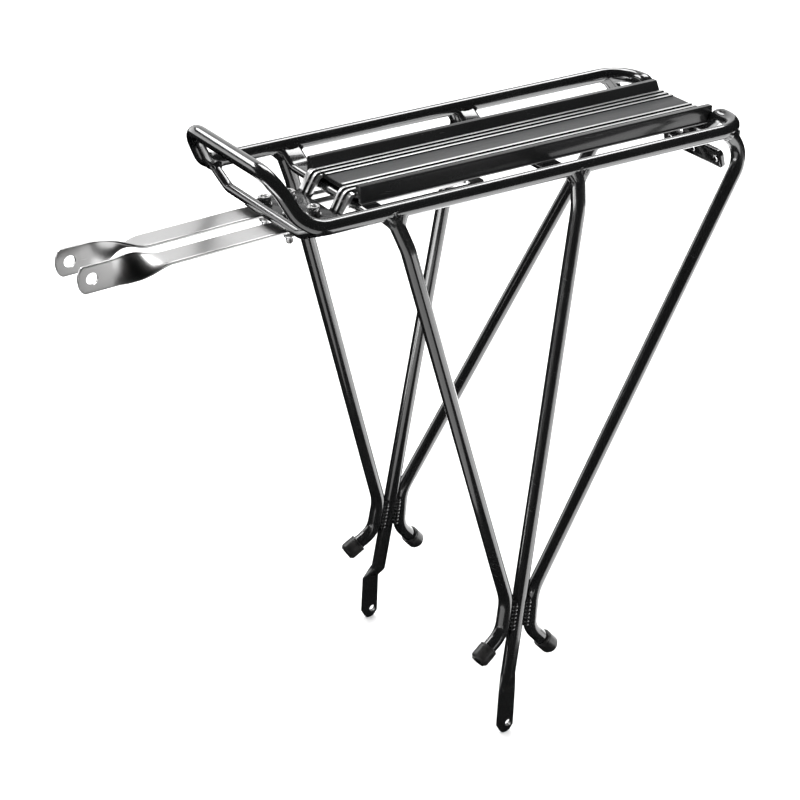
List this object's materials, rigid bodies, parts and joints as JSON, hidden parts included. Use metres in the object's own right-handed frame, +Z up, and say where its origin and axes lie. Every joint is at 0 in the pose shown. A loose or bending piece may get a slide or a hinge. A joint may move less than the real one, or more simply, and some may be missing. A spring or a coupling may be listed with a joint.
{
  "type": "bicycle rear rack",
  "caption": "Bicycle rear rack: bent black tube legs and loop with a front hoop, a ribbed flat deck, rear lamp bracket and two sliding twisted stays.",
  "frame": {"origin": "midway between the two dropout eyelets, on the line through them", "axes": "+X to the bicycle's rear, +Y to its right side, +Z up"},
  "size_m": [0.4839, 0.1854, 0.4372],
  "materials": {
    "black_alloy": "gloss black paint over bent aluminium tube",
    "deck_alloy": "satin black extrusion, ribs with bright tops",
    "cap_rubber": "moulded black rubber",
    "stay_steel": "polished stainless strip",
    "bolt_steel": "bright stainless"
  },
  "bodies": {
    "rack": {"top_loop": "black_alloy", "loop_butt_weld": "black_alloy", "front_leg_left": "black_alloy", "front_leg_right": "black_alloy", "middle_leg_left": "black_alloy", "middle_leg_right": "black_alloy", "rear_leg_left": "black_alloy", "rear_leg_right": "black_alloy", "foot_weld_left": "black_alloy", "foot_weld_right": "black_alloy", "front_rod": "black_alloy", "deck_plate": "deck_alloy", "crossbar_front": "black_alloy", "crossbar_middle": "black_alloy", "lamp_bracket": "black_alloy", "front_cap_left": "cap_rubber", "front_cap_right": "cap_rubber", "rear_cap_left": "cap_rubber", "rear_cap_right": "cap_rubber", "stay_bolts": "bolt_steel", "stay_washers": "bolt_steel", "clamp_washers": "bolt_steel", "stay_nuts": "bolt_steel"},
    "left_stay": {"left_stay": "stay_steel"},
    "right_stay": {"right_stay": "stay_steel"}
  },
  "joints": [
    {"name": "left_stay_slide", "type": "slide", "parent": "rack", "child": "left_stay", "axis": [-1, 0, 0], "range_m": [0, 0.112]},
    {"name": "right_stay_slide", "type": "slide", "parent": "rack", "child": "right_stay", "axis": [-1, 0, 0], "range_m": [0, 0.112]}
  ]
}
